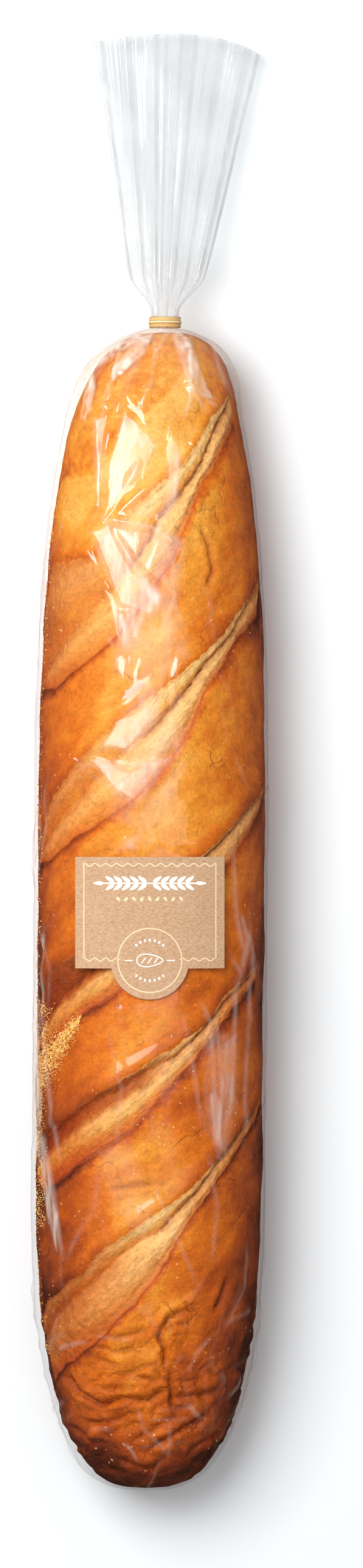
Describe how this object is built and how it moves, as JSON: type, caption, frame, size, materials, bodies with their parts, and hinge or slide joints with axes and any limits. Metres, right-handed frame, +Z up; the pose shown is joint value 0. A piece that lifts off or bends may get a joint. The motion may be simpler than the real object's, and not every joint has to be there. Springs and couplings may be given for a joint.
{
  "type": "bagged french bread",
  "caption": "Long golden French loaf with diagonal scored cuts in a clear bag, gathered and tied at one end into a pleated tail, with a kraft paper label on the crown.",
  "frame": {"origin": "middle of the whole object's box, on the floor under the loaf", "axes": "+Y along the loaf from its closed end to the mouth of the tied tail, +X across, +Z up through the crown"},
  "size_m": [0.092, 0.5644, 0.0669],
  "materials": {
    "crust": "golden baked crust with paler torn bands in the cuts, under glossy film",
    "film": "thin clear glossy plastic film, wrinkled and pleated",
    "tie_paper": "tan paper strip with a wire in it",
    "kraft": "uncoated brown kraft paper with fine fibres",
    "print": "pale printed lines",
    "semolina": "toasted yellow grains"
  },
  "bodies": {
    "root": {"bagged_loaf": "crust", "tie": "tie_paper", "label": "kraft"}
  },
  "joints": []
}
